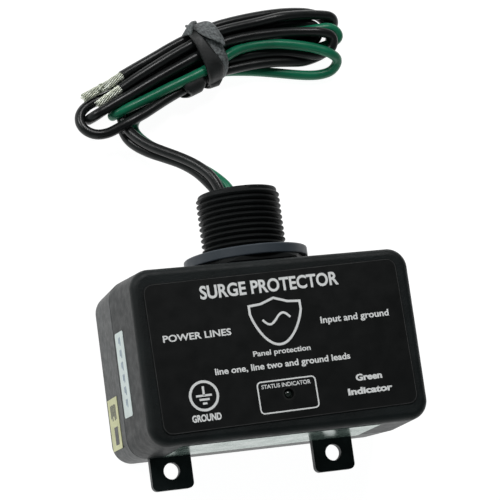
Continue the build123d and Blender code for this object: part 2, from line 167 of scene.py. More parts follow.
def relief(tree, shader, source, height):
    """Bump of a real height in metres."""
    made = tree.nodes.new("ShaderNodeBump")
    made.inputs["Strength"].default_value = 1.0
    made.inputs["Distance"].default_value = height
    tree.links.new(source, made.inputs["Height"])
    tree.links.new(made.outputs["Normal"], shader.inputs["Normal"])


def surface(name, low, high, rough, grain, patch=60, metallic=0.0, specular=0.5, coat=0.0):
    """A worn finish: colour patches, uneven roughness (low, high), grain (features per metre, height)."""
    made, tree, shader = shader_of(name)
    tree.links.new(ramp(tree, noise(tree, patch), low, high), shader.inputs["Base Color"])
    tree.links.new(levels(tree, noise(tree, patch * 6), *rough), shader.inputs["Roughness"])
    relief(tree, shader, noise(tree, grain[0]), grain[1])
    shader.inputs["Metallic"].default_value = metallic
    shader.inputs["Specular IOR Level"].default_value = specular
    shader.inputs["Coat Weight"].default_value = coat
    return made


def grey(level, tint=(1.0, 1.0, 1.0)):
    """A grey colour, slightly tinted."""
    return tuple(level * t for t in tint)


COOL = (0.92, 1.0, 1.02)
TEAL = (0.7, 1.0, 1.05)
housing = surface(
    "housing_plastic", grey(0.005, TEAL), grey(0.011, TEAL), (0.44, 0.58), (2000, 0.08 * MM), specular=0.26
)
cover_plastic = surface(
    "cover_plastic", grey(0.009, TEAL), grey(0.018, TEAL), (0.4, 0.52), (2600, 0.03 * MM), patch=90,
    specular=0.3
)
label_film = surface(
    "label_film", grey(0.0055, COOL), grey(0.0075, COOL), (0.3, 0.36), (1500, 0.004 * MM), patch=40
)
nipple_nylon = surface(
    "nipple_nylon", grey(0.01, COOL), grey(0.015, COOL), (0.4, 0.5), (1600, 0.02 * MM), specular=0.08
)
washer_rubber = surface(
    "washer_rubber", (0.026, 0.036, 0.048), (0.038, 0.05, 0.064), (0.45, 0.6), (1800, 0.03 * MM)
)
black_wire = surface(
    "black_insulation", grey(0.007, COOL), grey(0.011, COOL), (0.27, 0.37), (420, 0.05 * MM), specular=0.38
)
green_wire = surface(
    "green_insulation", (0.005, 0.13, 0.065), (0.008, 0.2, 0.1), (0.3, 0.4), (420, 0.05 * MM), specular=0.4
)
# the tie's band in two copies of one finish, lit and shaded: this lighter grey is painted light on the faces
# that turn to the lamps, over a speckle of its own grain
tie_painted_lit = surface(
    "tie_painted_lit", grey(0.05, COOL), grey(0.2, COOL), (0.5, 0.7), (1500, 0.15 * MM), patch=1300
)
# the darker copy of the same finish is painted shade on the faces that turn away from the lamps
tie_painted_shade = surface(
    "tie_painted_shade", grey(0.008, COOL), grey(0.016, COOL), (0.45, 0.6), (1300, 0.06 * MM), patch=200
)
tinned = surface(
    "tinned_conductor", (0.62, 0.64, 0.52), (0.9, 0.93, 0.84), (0.3, 0.45), (2500, 0.01 * MM),
    metallic=0.55, patch=500
)
white_print = surface("white_print", grey(0.86), grey(0.94), (0.4, 0.5), (3000, 0.004 * MM), patch=200)
# a thin grey line just inside the front label's edge: a painted highlight where the edge catches the light
painted_edge_highlight = surface("label_edge_highlight", grey(0.03), grey(0.06), (0.4, 0.5), (3000, 0.004 * MM), patch=200)
white_paper = surface(
    "white_label", (0.55, 0.62, 0.6), (0.62, 0.7, 0.68), (0.4, 0.5), (1200, 0.01 * MM), patch=120
)
cream_paper = surface(
    "cream_label", (0.5, 0.5, 0.26), (0.62, 0.62, 0.35), (0.45, 0.6), (1400, 0.015 * MM), patch=150
)
dark_ink = surface("dark_ink", grey(0.02), grey(0.05), (0.45, 0.6), (2000, 0.005 * MM), patch=300)
faded_ink = surface(
    "faded_ink", (0.2, 0.26, 0.34), (0.32, 0.4, 0.48), (0.45, 0.6), (2000, 0.005 * MM), patch=300
)
bezel_plastic = surface("bezel_plastic", grey(0.012), grey(0.02), (0.25, 0.35), (2500, 0.008 * MM))
lamp_lens = surface(
    "lamp_lens", (0.012, 0.016, 0.014), (0.02, 0.028, 0.024), (0.08, 0.14), (900, 0.004 * MM), coat=0.5
)
board_green = surface(
    "board_green", (0.006, 0.05, 0.02), (0.01, 0.09, 0.035), (0.3, 0.42), (500, 0.03 * MM), patch=240
)
screw_steel = surface("screw_steel", grey(0.5), grey(0.62), (0.25, 0.4), (2500, 0.01 * MM), metallic=1.0)
varistor_epoxy = surface(
    "varistor_epoxy", (0.01, 0.05, 0.22), (0.015, 0.07, 0.3), (0.35, 0.5), (700, 0.06 * MM)
)
fuse_case = surface("fuse_case", (0.55, 0.5, 0.4), (0.68, 0.62, 0.5), (0.35, 0.5), (1200, 0.02 * MM))
capacitor_case = surface(
    "capacitor_case", (0.5, 0.32, 0.03), (0.62, 0.42, 0.05), (0.3, 0.42), (900, 0.02 * MM)
)
resistor_body = surface(
    "resistor_body", (0.36, 0.24, 0.12), (0.5, 0.34, 0.18), (0.35, 0.5), (1200, 0.02 * MM)
)
rectifier_case = surface("rectifier_case", grey(0.01), grey(0.02), (0.4, 0.55), (1600, 0.02 * MM))
terminal_brass = surface(
    "terminal_brass", (0.6, 0.42, 0.16), (0.78, 0.58, 0.26), (0.25, 0.4), (1500, 0.01 * MM), metallic=1.0
)
seal_compound = surface("seal_compound", grey(0.008), grey(0.02), (0.25, 0.5), (300, 0.25 * MM), patch=150)


def clear_film():
    """A clear glossy sticker with rows of faint printed specks."""
    made, tree, shader = shader_of("clear_film")
    specks = noise(tree, 900, 2.0, stretch=(1, 0.3, 2.2))
    colour = ramp(tree, specks, (0.13, 0.19, 0.17), (0.36, 0.47, 0.42), 0.4, 0.66)
    tree.links.new(colour, shader.inputs["Base Color"])
    waves = noise(tree, 120)
    tree.links.new(levels(tree, waves, 0.16, 0.3), shader.inputs["Roughness"])
    relief(tree, shader, waves, 0.12 * MM)
    shader.inputs["Metallic"].default_value = 0.7
    return made


film = clear_film()
finishes = {
    "front_housing": housing,
    "rear_cover": cover_plastic,
    "front_label": label_film,
    "side_label": white_paper,
    "rating_label": cream_paper,
    "bottom_label": film,
    "sealing_washer": washer_rubber,
    "led_bezel": bezel_plastic,
    "status_led": lamp_lens,
    "circuit_board": board_green,
    "board_screws": screw_steel,
    "filter_capacitor": capacitor_case,
    "indicator_resistors": resistor_body,
    "bridge_rectifier": rectifier_case,
    "black_lead_a_inside": black_wire,
    "black_lead_b_inside": black_wire,
    "green_lead_inside": green_wire,
    "line_terminal_a": terminal_brass,
    "line_terminal_b": terminal_brass,
    "ground_terminal": terminal_brass,
    "lead_seal": seal_compound,
}
for number in range(1, 7):
    finishes[f"varistor_{number}"] = varistor_epoxy
for number in range(1, 3):
    finishes[f"thermal_fuse_{number}"] = fuse_case
for name, finish in finishes.items():
    nodes[name].data.materials.clear()
    nodes[name].data.materials.append(finish)


# ---------------------------------------------------------------- mesh helpers
def piece(name, points, faces, finish, slot, smooth=True, replaces=()):
    """A mesh piece that rides on the box."""
    mesh = bpy.data.meshes.new(name)
    mesh.from_pydata([tuple(p) for p in points], [], faces)
    mesh.validate()
    mesh.update()
    mesh.materials.append(finish)
    made = bpy.data.objects.new(name, mesh)
    bpy.context.scene.collection.objects.link(made)
    mesh.polygons.foreach_set("use_smooth", [smooth] * len(mesh.polygons))
    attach(made, BODY)
    if replaces:
        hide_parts(*replaces)
    return made


def grid_faces(rows, columns, closed_rows=False):
    """Quads between rings of points that are listed ring by ring."""
    faces = []
    for i in range(rows if closed_rows else rows - 1):
        for j in range(columns):
            k, m = (i + 1) % rows, (j + 1) % columns
            faces.append((i * columns + j, i * columns + m, k * columns + m, k * columns + j))
    return faces


def sharpen(made, degrees):
    """Smooth shading that breaks at edges sharper than this."""
    made.data.set_sharp_from_angle(angle=math.radians(degrees))


# ---------------------------------------------------------------- floor
floor_finish = surface("pale_floor", grey(0.24), grey(0.26), (0.8, 0.9), (400, 0.01 * MM), patch=3)
floor_shader = floor_finish.node_tree.nodes["Principled BSDF"]
floor_shader.inputs["Emission Color"].default_value = (1.0, 1.0, 1.0, 1)
floor_shader.inputs["Emission Strength"].default_value = 0.96
floor_mesh = bpy.data.meshes.new("floor")
reach, below = 4.0, -0.05 * MM
floor_mesh.from_pydata(
    [(-reach, -reach, below), (reach, -reach, below), (reach, reach, below), (-reach, reach, below)],
    [],
    [(0, 1, 2, 3)],
)
floor_mesh.materials.append(floor_finish)
floor = bpy.data.objects.new("floor", floor_mesh)
bpy.context.scene.collection.objects.link(floor)

# ---------------------------------------------------------------- leads
LEAD_RADIUS = 1.65
SPACING = 1.6
TIE_PLACE = (2.6, 104.6)


def spine():
    """The hank's middle line, bent where the tie squeezes it: distances, places and directions."""
    along = np.linspace(-70, 70, 1401)
    turn = np.radians(13 - 11 * np.tanh(along / 9))
    step = along[1] - along[0]
    x, y = np.cumsum(np.cos(turn)) * step, np.cumsum(np.sin(turn)) * step
    middle = len(along) // 2
    return along, x - x[middle] + TIE_PLACE[0], y - y[middle] + TIE_PLACE[1], turn


spine_along, spine_x, spine_y, spine_turn = spine()


def in_hank(along, across, z):
    """A point given along and across the hank's middle line, in millimetres."""
    turn = np.interp(along, spine_along, spine_turn)
    x = np.interp(along, spine_along, spine_x) - across * np.sin(turn)
    y = np.interp(along, spine_along, spine_y) + across * np.cos(turn)
    return np.array([x, y, z])


# the middle line of the three leads from the seal in the nipple to the hank: x, y, z, how far the bundle has
# turned (degrees), and how far each lead lies from its middle to the side and in depth
bundle = [
    (-2.1, 42.0, 21.3, 0, 2.65, 2.65),
    (-2.1, 47.7, 21.3, 0, 2.65, 2.65),
    (-3.1, 54.3, 20.6, -15, 2.3, 2.6),
    (-5.7, 59.2, 18.8, -45, 1.9, 2.9),
    (-8.6, 63.1, 16.3, -58, 1.35, 3.3),
    (-12.6, 66.8, 13.5, -60, 1.1, 3.4),
    (-17.4, 69.9, 10.8, -60, 1.2, 3.4),
    (-21.7, 72.6, 8.5, -57, 1.45, 3.2),
    (-25.4, 76.0, 6.6, -50, 1.8, 2.7),
    (-27.8, 79.9, 5.0, -40, 1.95, 2.3),
    (-28.9, 83.8, 3.8, -25, 1.95, 1.95),
]
BUNDLE_TOP = Vector((-0.31, -0.16, 0.94)).normalized()
bundle_place = {"black_lead_a": 120, "black_lead_b": 240, "green_lead": 0}


def bundle_route(name):
    """The route of one lead: the bundle's middle line, offset to the lead's place around it."""
    route = []
    for number, (x, y, z, turn, width, depth) in enumerate(bundle):
        before, after = bundle[max(number - 1, 0)], bundle[min(number + 1, len(bundle) - 1)]
        forward = (Vector(after[:3]) - Vector(before[:3])).normalized()
        if number < 2:
            forward = Vector((0, 1, 0))
        top = (BUNDLE_TOP - forward * BUNDLE_TOP.dot(forward)).normalized()
        angle = math.radians(bundle_place[name] + turn)
        offset = forward.cross(top) * width * math.cos(angle) + top * depth * math.sin(angle)
        route.append(tuple(Vector((x, y, z)) + offset))
    return route


# each lead in the hank: four passes through the tie (along, across, height), the far end of each of the three
# loops between them, and the tip of the bare conductor
leads = {
    "black_lead_a": {
        "passes": [
            [(-38.6, -6.9, 5.2), (-37.4, -4.0, 4.9), (-31, -2.4, 4.7), (-20, -2.0, 4.7), (0, -0.8, 6.0),
             (20, -1.2, 1.7), (33, -1.0, 1.7)],
            [(33, 6.0, 4.8), (20, 5.5, 4.7), (7, 4.1, 5.8), (0, 2.7, 6.0), (-20, 1.6, 4.7), (-30, 2.0, 4.5),
             (-41, 2.9, 4.2)],
            [(-41, -9.9, 7.6), (-37, -10.0, 8.8), (-30, -9.5, 8.4), (-20, -8.3, 6.4), (-10, -7.3, 5.4),
             (0, -6.9, 5.2), (10, -5.6, 5.0), (20, -5.9, 4.8), (38, -5.0, 1.8)],
            [(38, 10.0, 3.2), (30, 10.4, 4.8), (18, 9.7, 5.3), (5, 8.0, 6.2), (0, 7.1, 6.2), (-4, 6.4, 6.2),
             (-10, 6.3, 5.6), (-17, 5.7, 5.0), (-23, 5.6, 5.0), (-28, 5.0, 5.4)],
        ],
        "noses": [41.5, -51.2, 45.8],
        "tip": (-40, 4.6, 5.8),
    },
    "black_lead_b": {
        "passes": [
            [(-35.6, -8.2, 2.0), (-28, -6.2, 3.8), (-20, -5.5, 4.7), (0, -3.9, 6.0), (8, -3.9, 5.6),
             (18, -3.4, 4.7), (36, -4.2, 4.9)],
            [(34, 2.3, 8.0), (28, 2.7, 8.2), (17, 2.5, 8.4), (7, 1.8, 8.9), (0, 0.2, 9.0), (-6, -0.8, 8.9),
             (-17, -1.1, 8.2), (-25, -1.4, 8.0), (-33, -1.8, 8.2), (-40, -2.3, 8.2)],
            [(-41, -1.9, 1.7), (-20, -0.2, 1.7), (0, 0.9, 3.1), (20, 2.4, 1.7), (38, 2.0, 1.7)],
            [(38, 7.9, 5.6), (33, 8.2, 7.0), (18, 6.8, 7.8), (4, 5.2, 8.9), (0, 4.6, 9.0), (-5, 3.5, 8.9),
             (-11, 3.4, 8.2), (-19, 2.6, 7.6), (-26, 2.1, 7.2), (-33, 1.5, 6.6)],
        ],
        "noses": [45.6, -48.6, 47.4],
        "tip": (-43, 0.8, 5.6),
    },
    "green_lead": {
        "passes": [
            [(-31.0, -8.4, 1.8), (-20, -7.2, 1.7), (0, -5.9, 2.4), (8, -6.6, 2.0), (12, -7.3, 1.7),
             (21, -8.8, 1.7), (31, -10.7, 1.7), (37, -11.7, 1.8)],
            [(35, -4.2, 6.8), (28, -1.2, 7.6), (19, -0.4, 7.2), (12, -1.3, 7.2), (6, -3.1, 7.8),
             (0, -5.3, 8.6), (-6, -6.1, 8.4), (-12, -6.0, 8.3), (-20, -6.0, 8.2), (-28, -5.6, 8.0),
             (-34, -5.2, 7.2)],
            [(-34, -4.6, 1.7), (-20, -3.8, 1.7), (0, -2.6, 3.1), (20, -4.8, 1.7), (32, -4.4, 1.9),
             (38, -3.2, 4.0)],
            [(37, 3.0, 5.6), (30, 4.6, 4.2), (20, 5.9, 1.9), (0, 4.4, 3.1), (-18, 3.6, 1.8),
             (-33, 3.6, 4.6)],
        ],
        "noses": [46.2, -40.5, 47.8],
        "tip": (-46, 4.6, 6.2),
    },
}


def hank_points(lead):
    """The lead's four passes, joined by rounded loops."""
    points = []
    for number, stations in enumerate(lead["passes"]):
        points += [in_hank(*station) for station in stations]
        if number == len(lead["passes"]) - 1:
            break
        leaving, entering = np.array(stations[-1]), np.array(lead["passes"][number + 1][0])
        nose = lead["noses"][number]
        for angle in np.radians([30, 60, 90, 120, 150]):
            base = leaving + (entering - leaving) * (1 - np.cos(angle)) / 2
            along = base[0] + (nose - base[0]) * np.sin(angle) ** 0.6
            points.append(in_hank(along, base[1], base[2]))
    return points + [in_hank(*lead["tip"])]


def smooth_line(points, spacing=SPACING):
    """Evenly spaced points of the quadratic spline that has these control points, and its length."""
    line = np.array(points, float)
    for _ in range(5):
        quarter = line[:-1] * 0.75 + line[1:] * 0.25
        three_quarters = line[:-1] * 0.25 + line[1:] * 0.75
        inner = np.stack([quarter, three_quarters], axis=1).reshape(-1, 3)
        line = np.concatenate([line[:1], inner[1:-1], line[-1:]])
    lengths = np.concatenate([[0], np.cumsum(np.linalg.norm(np.diff(line, axis=0), axis=1))])
    count = int(round(lengths[-1] / spacing)) + 1
    stops = np.linspace(0, lengths[-1], count)
    return np.stack([np.interp(stops, lengths, line[:, axis]) for axis in range(3)], axis=1), lengths[-1]


def settle(lines, fixed, steps=300, gap=3.36, chord=5.7, push_share=0.3, pull=0.03, bend=0.3):
    """Pushes strands apart until they lie beside and on each other. Each line's first fixed points stay."""
    starts = np.concatenate([[0], np.cumsum([len(line) for line in lines])])
    places = np.concatenate(lines)
    goals = places.copy()
    owner = np.concatenate([np.full(len(line), number) for number, line in enumerate(lines)])
    order = np.concatenate([np.arange(len(line)) for line in lines])
    held = np.concatenate([np.arange(len(line)) < count for line, count in zip(lines, fixed)])
    # points four steps apart on one strand keep a chord that stops it from folding sharply
    hinge = np.nonzero(owner[:-4] == owner[4:])[0]
    first, second = np.triu_indices(len(places), 1)
    apart = (owner[first] != owner[second]) | (abs(order[first] - order[second]) > 5)
    first, second = first[apart], second[apart]
    for step in range(steps):
        if step % 25 == 0:
            near = np.abs(places[first] - places[second]).max(1) < 6
            one = np.concatenate([first[near], hinge])
            other = np.concatenate([second[near], hinge + 4])
            gaps = np.concatenate([np.full(near.sum(), gap), np.full(len(hinge), chord)])
        offset = places[one] - places[other]
        distance = np.linalg.norm(offset, axis=1) + 1e-9
        push = (np.maximum(gaps - distance, 0) / distance)[:, None] * offset * push_share
        shifts = [
            np.bincount(one, push[:, axis], len(places)) - np.bincount(other, push[:, axis], len(places))
            for axis in range(3)
        ]
        move = np.stack(shifts, axis=1)
        close = distance < gaps
        touching = np.bincount(one, close, len(places)) + np.bincount(other, close, len(places))
        move /= np.sqrt(np.maximum(touching, 1))[:, None]
        for start, end in zip(starts, starts[1:]):
            line = places[start:end]
            sag = np.zeros_like(line)
            sag[1:-1] = (line[:-2] + line[2:]) / 2 - line[1:-1]
            stiff = sag.copy()
            stiff[1:-1] -= (sag[:-2] + sag[2:]) / 2
            stiff[:2] = 0
            stiff[-2:] = 0
            move[start:end] += bend * stiff
        move += pull * (goals - places)
        move[held] = 0
        places += move
        places[:, 2] = np.maximum(places[:, 2], LEAD_RADIUS)
    return [places[start:end] for start, end in zip(starts, starts[1:])]


lines, fixed = [], []
for name, lead in leads.items():
    lead["route"] = bundle_route(name)
    line, _ = smooth_line(lead["route"] + hank_points(lead))
    _, held_length = smooth_line(lead["route"][:-1])
    lines.append(line)
    fixed.append(int(held_length / SPACING))
settled = settle(lines, fixed)


def lead_curve(name, controls, finish, slot):
    """A round lead along one smooth spline."""
    curve = bpy.data.curves.new(name, "CURVE")
    curve.dimensions = "3D"
    spline = curve.splines.new("NURBS")
    spline.points.add(len(controls) - 1)
    for point, place in zip(spline.points, controls):
        point.co = (*(Vector(place) * MM), 1)
    spline.order_u = 3
    spline.use_endpoint_u = True
    spline.resolution_u = 6
    curve.bevel_depth = LEAD_RADIUS * MM
    curve.bevel_resolution = 5
    curve.use_fill_caps = True
    curve.materials.append(finish)
    made = bpy.data.objects.new(name, curve)
    bpy.context.scene.collection.objects.link(made)
    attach(made, BODY)
    return made


STRAND_RADIUS = 0.26
STRAND_STEP = 0.5
STRAND_PITCH = 26.0
strand_rings = ((0.0, 1), (0.62, 6), (1.2, 12))


def bare_end(name, line, node):
    """Twisted tinned strands along the last stretch of a lead."""
    line, _ = smooth_line(line, STRAND_STEP)
    forward = np.gradient(line, axis=0)
    forward /= np.linalg.norm(forward, axis=1)[:, None]
    side = np.cross(forward, [0, 0, 1])
    side /= np.linalg.norm(side, axis=1)[:, None]
    up = np.cross(side, forward)
    sides, points, faces = 8, [], []
    for ring_radius, count in strand_rings:
        for strand in range(count):
            short = int(2 * abs(math.sin(strand * 5.3 + ring_radius * 3)))
            rows = len(line) - short
            phase = 2 * math.pi * strand / count + 2 * math.pi * np.arange(rows) * STRAND_STEP / STRAND_PITCH
            middle = line[:rows] + ring_radius * (
                np.cos(phase)[:, None] * side[:rows] + np.sin(phase)[:, None] * up[:rows]
            )
            base = len(points)
            for row in range(rows):
                for corner in range(sides):
                    angle = 2 * math.pi * corner / sides
                    spoke = math.cos(angle) * side[row] + math.sin(angle) * up[row]
                    points.append((middle[row] + STRAND_RADIUS * spoke) * MM)
            faces += [tuple(base + k for k in face) for face in grid_faces(rows, sides)]
            faces.append(tuple(base + k for k in reversed(range(sides))))
            faces.append(tuple(base + (rows - 1) * sides + k for k in range(sides)))
    return piece(name, points, faces, tinned, "conductor", replaces=[node])


bare_lengths = {"black_lead_a": 11.0, "black_lead_b": 10.5, "green_lead": 12.5}
lead_finishes = {
    "black_lead_a": (black_wire, "black_insulation"),
    "black_lead_b": (black_wire, "black_insulation"),
    "green_lead": (green_wire, "green_insulation"),
}
for (name, lead), line, count in zip(leads.items(), settled, fixed):
    bare_rows = int(bare_lengths[name] / SPACING)
    covered = line[: len(line) - bare_rows]
    controls = lead["route"][:-2] + [tuple(p) for p in covered[count:-2:3]] + [tuple(covered[-1])]
    cord = lead_curve(f"{name}_cord", controls, *lead_finishes[name])
    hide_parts(name, "lead_hank")
    end = bare_end(f"{name}_strands", line[len(line) - bare_rows - 2 :], f"{name}_end")
    covered_length = float(np.linalg.norm(np.diff(covered, axis=0), axis=1).sum()) * MM
    tuple(Vector(lead["route"][0]) * MM)


# ---------------------------------------------------------------- tie
def waist_ring(along, samples=48):
    """The outline of the strands where they cross a plane of the hank: across and height."""
    hits = []
    for line in settled:
        flat = [np.array(in_hank(along, 0, 0))[:2], np.array(in_hank(along + 1, 0, 0))[:2]]
        forward = (flat[1] - flat[0]) / np.linalg.norm(flat[1] - flat[0])
        level = (line[:, :2] - flat[0]) @ forward
        across = (line[:, :2] - flat[0]) @ np.array([-forward[1], forward[0]])
        for i in np.nonzero((level[:-1] * level[1:] <= 0) & (abs(across[:-1]) < 20))[0]:
            share = level[i] / (level[i] - level[i + 1] + 1e-12)
            hit_z = line[i, 2] + share * (line[i + 1, 2] - line[i, 2])
            hits.append((across[i] + share * (across[i + 1] - across[i]), hit_z))
    hits = np.array(hits)
    middle = (hits.max(0) + hits.min(0)) / 2
    angles = np.linspace(0, 2 * np.pi, samples, endpoint=False)
    rays = np.stack([np.cos(angles), np.sin(angles)], axis=1)
    support = ((hits - middle) @ rays.T).max(0) + LEAD_RADIUS
    # the corner of each pair of neighbouring tangent lines
    after = np.roll(support, -1)
    turned = np.roll(rays, -1, axis=0)
    cross = rays[:, 0] * turned[:, 1] - rays[:, 1] * turned[:, 0]
    x = (support * turned[:, 1] - after * rays[:, 1]) / cross
    y = (after * rays[:, 0] - support * turned[:, 0]) / cross
    return np.stack([x, y], axis=1) + middle


TURN_STEPS = 72
turn_angles = np.linspace(0, 2 * np.pi, TURN_STEPS, endpoint=False)
waist_stations = np.arange(-9.0, 9.1, 1.0)


def waist_radii(along):
    """How far the outline of the strands is from the middle of the waist, in each direction around it."""
    outline = waist_ring(along) - waist_middle
    after = np.roll(outline, -1, axis=0)
    radii = []
    for angle in turn_angles:
        ray = np.array([math.cos(angle), math.sin(angle)])
        left = outline[:, 0] * ray[1] - outline[:, 1] * ray[0]
        right = after[:, 0] * ray[1] - after[:, 1] * ray[0]
        crossing = outline + (after - outline) * (left / (left - right + 1e-12))[:, None]
        ahead = (left * right <= 0) & (crossing @ ray > 0)
        radii.append(float((crossing[ahead] @ ray).max()))
    return radii


waist_middle = waist_ring(0).mean(0)
waist_table = np.array([waist_radii(along) for along in waist_stations])
waist_table = (np.roll(waist_table, 1, axis=1) + 2 * waist_table + np.roll(waist_table, -1, axis=1)) / 4
across_axis = in_hank(0, 1, 0) - in_hank(0, 0, 0)


def on_waist(along, degrees, clearance):
    """A point on the bundled strands: along the hank, around it (0 far side, 90 top), and lifted off them."""
    place = np.clip(along, waist_stations[0], waist_stations[-1])
    step = degrees / 360 * TURN_STEPS
    column = int(step // 1) % TURN_STEPS
    here, after = (
        np.interp(place, waist_stations, waist_table[:, c % TURN_STEPS]) for c in (column, column + 1)
    )
    radius = here + (after - here) * (step % 1) + clearance
    angle = math.radians(degrees)
    across = waist_middle[0] + radius * math.cos(angle)
    z = waist_middle[1] + radius * math.sin(angle)
    return in_hank(along, across, max(z, 0.1))


def on_top(along, across, clearance):
    """A point on the upper side of the bundled strands, given along and across the hank."""
    origin = in_hank(0, 0, 0)
    tried = [(abs((on_waist(0, d, 0) - origin) @ across_axis - across), d) for d in range(2, 179, 2)]
    return on_waist(along, min(tried)[1], clearance)


def ribbon(name, edges, thickness, finish, closed=False, replaces=()):
    """A flat band through pairs of edge points, rounded at its edges and smoothed along its run."""
    columns = 8
    lefts = [np.array(left) for left, right in edges]
    rights = [np.array(right) for left, right in edges]
    if closed:
        lefts, rights = lefts + lefts[:3], rights + rights[:3]
    count = len(lefts) * 5
    sides = []
    for line in (lefts, rights):
        for _ in range(3):
            line = np.array(line)
            quarter = line[:-1] * 0.75 + line[1:] * 0.25
            rest = line[:-1] * 0.25 + line[1:] * 0.75
            inner = np.stack([quarter, rest], axis=1).reshape(-1, 3)
            line = inner if closed else np.concatenate([line[:1], inner, line[-1:]])
        stops = np.linspace(0, len(line) - 1, count)
        spread = [np.interp(stops, range(len(line)), line[:, axis]) for axis in range(3)]
        sides.append(np.stack(spread, axis=1))
    left, right = sides
    if closed:
        # the run has three stations twice, so cut it where it meets itself
        meet = int(np.argmin(np.linalg.norm(left[count // 2 :] - left[0], axis=1))) + count // 2
        left, right = left[:meet], right[:meet]
    middle = (left + right) / 2
    along = np.gradient(middle, axis=0)
    if closed:
        along = np.roll(middle, -1, axis=0) - np.roll(middle, 1, axis=0)
    normal = np.cross(along, right - left)
    normal /= np.linalg.norm(normal, axis=1)[:, None] + 1e-9
    points = []
    for row in range(len(middle)):
        for side in (1, -1):
            for column in range(columns + 1):
                share = column / columns if side == 1 else 1 - column / columns
                round_off = (1 - (2 * share - 1) ** 6) ** 0.5
                place = left[row] + (right[row] - left[row]) * share
                points.append((place + normal[row] * side * thickness / 2 * round_off) * MM)
    ring = 2 * (columns + 1)
    faces = grid_faces(len(middle), ring, closed_rows=closed)
    if not closed:
        faces += [tuple(reversed(range(ring))), tuple((len(middle) - 1) * ring + k for k in range(ring))]
    return piece(name, points, faces, finish, "tie", replaces=replaces)


# the lowest turn of the band, all the way round, in the lighter copy of the tie's finish with painted light
around = []
for degrees, left, right in (
    (0, -4.2, 3.2), (25, -4.2, 3.4), (50, -4.0, 3.7), (75, -3.8, 3.8), (95, -3.8, 4.0), (120, -3.6, 4.7),
    (145, -3.6, 5.0), (165, -3.6, 4.6), (190, -3.4, 4.0), (225, -3.4, 3.8), (270, -3.6, 3.6),
    (315, -3.8, 3.4),
):
    around.append((on_waist(left, degrees, 0.55), on_waist(right, degrees, 0.6)))
ribbon("tie_turn", around, 0.9, tie_painted_lit, closed=True, replaces=["wire_tie"])

# the turn that crosses over it from the fold to the near side, darkened with painted shade
crossing = [
    (on_top(left, across, 1.5), on_top(right, across, 1.7))
    for across, left, right in (
        (8.0, -4.8, -2.4), (6.0, -5.2, -2.2), (2.9, -4.9, -1.5), (-1.4, -5.1, 0.0), (-5.0, -5.2, 2.0),
    )
]
crossing += [
    (on_waist(left, degrees, lift), on_waist(right, degrees, lift))
    for degrees, left, right, lift in (
        (150, -5.2, 2.5, 1.7), (168, -5.0, 2.2, 1.7), (195, -4.6, 1.8, 1.6), (230, -4.2, 1.4, 1.3),
        (262, -3.8, 1.0, 0.8),
    )
]
ribbon("tie_crossing", crossing, 0.9, tie_painted_shade)

# the broad part folded over the top, grey with painted light
fold = [
    (on_top(*outer, 1.5), on_top(*edge, 2.6))
    for outer, edge in (
        ((-2.6, 9.6), (-3.6, 8.8)), ((0.0, 9.6), (-3.2, 6.2)), ((2.2, 9.2), (-1.9, 2.9)),
        ((3.2, 7.2), (0.4, 1.3)), ((3.9, 4.4), (2.2, 0.2)), ((4.3, 1.4), (3.7, -0.9)),
    )
]
ribbon("tie_fold", fold, 1.0, tie_painted_lit)

# the small ear where the band twists over itself, with painted light
ear = [
    (in_hank(-6.2, 7.8, 7.4), in_hank(-4.4, 6.2, 10.9)),
    (in_hank(-5.2, 8.7, 8.6), in_hank(-3.6, 7.6, 11.8)),
    (in_hank(-3.8, 9.8, 9.6), in_hank(-2.7, 9.0, 12.6)),
    (in_hank(-2.6, 10.4, 10.0), in_hank(-1.9, 9.8, 12.3)),
    (in_hank(-1.9, 10.2, 9.0), in_hank(-1.4, 9.3, 10.6)),
]
ribbon("tie_ear", ear, 0.8, tie_painted_lit)


def lobe(name, middle, half_width, reach, top):
    """A turn of the band that bulges out on the near side of the hank, with a rounded outline."""
    # how far out, how high and how wide the band is along the turn
    path = ((-6.2, top, 1.0), (-8.6, top + 0.1, 0.98), (-10.2, top - 0.5, 0.86), (-reach, top - 2.0, 0.5),
            (-10.4, 1.5, 0.86), (-8.6, 0.75, 0.98), (-6.2, 0.7, 1.0))
    edges = [
        (in_hank(middle - half_width * share, out, z), in_hank(middle + half_width * share, out, z))
        for out, z, share in path
    ]
    # the lobes take the darker copy of the finish: painted shade
    ribbon(name, edges, 0.9, tie_painted_shade)


lobe("tie_lobe_right", -1.6, 4.1, 11.5, 7.4)
lobe("tie_lobe_left", -10.2, 4.6, 11.4, 8.6)


# ---------------------------------------------------------------- nipple
axis_z = 24.2
bore_radius, neck_radius, lead_in_radius, mouth_y = 10.25, 12.185, 12.65, 52.8
thread = {"radius": 13.335, "root": 12.185, "pitch": 25.4 / 14, "crest": 0.36, "turns": 13}
thread_low, thread_high, top_crest = 30.6, 51.75, 50.85
neck_low, thread_stop = 29.4, 51.9


def around_axis(rows, columns):
    """The points of rows of (radius, y) around the nipple's axis, with the first column on top."""
    points = []
    for row in rows:
        for column, (radius, y) in enumerate(row):
            angle = 2 * math.pi * column / columns
            points.append(Vector((radius * math.sin(angle), y, axis_z + radius * math.cos(angle))) * MM)
    return points


def thread_rows(columns):
    """The rows of the helical thread, each a ring of (radius, y) that climbs one pitch in a full turn."""
    crest, pitch = thread["crest"], thread["pitch"]
    flank = (pitch - crest) / 2
    shoulder = thread["radius"] - 0.05
    profile = [(0.0, thread["root"]), (flank, shoulder), (flank + 0.08, thread["radius"]),
               (flank + crest - 0.08, thread["radius"]), (flank + crest, shoulder)]
    first = top_crest - flank - crest / 2 - 11 * pitch
    rows = []
    for turn in range(thread["turns"]):
        for along, radius in profile:
            row = []
            for column in range(columns):
                y = first + turn * pitch + along - pitch * column / columns
                # the thread fades into the neck below and into the lead-in above
                fade_in = min(1.0, max(0.0, (y - thread_low) / 0.6))
                fade = fade_in * min(1.0, max(0.0, (thread_high - y) / 0.5))
                plain = neck_radius if y < 45 else lead_in_radius
                row.append((plain + (radius - plain) * fade, min(max(y, neck_low), thread_stop)))
            rows.append(row)
    return rows, len(profile)


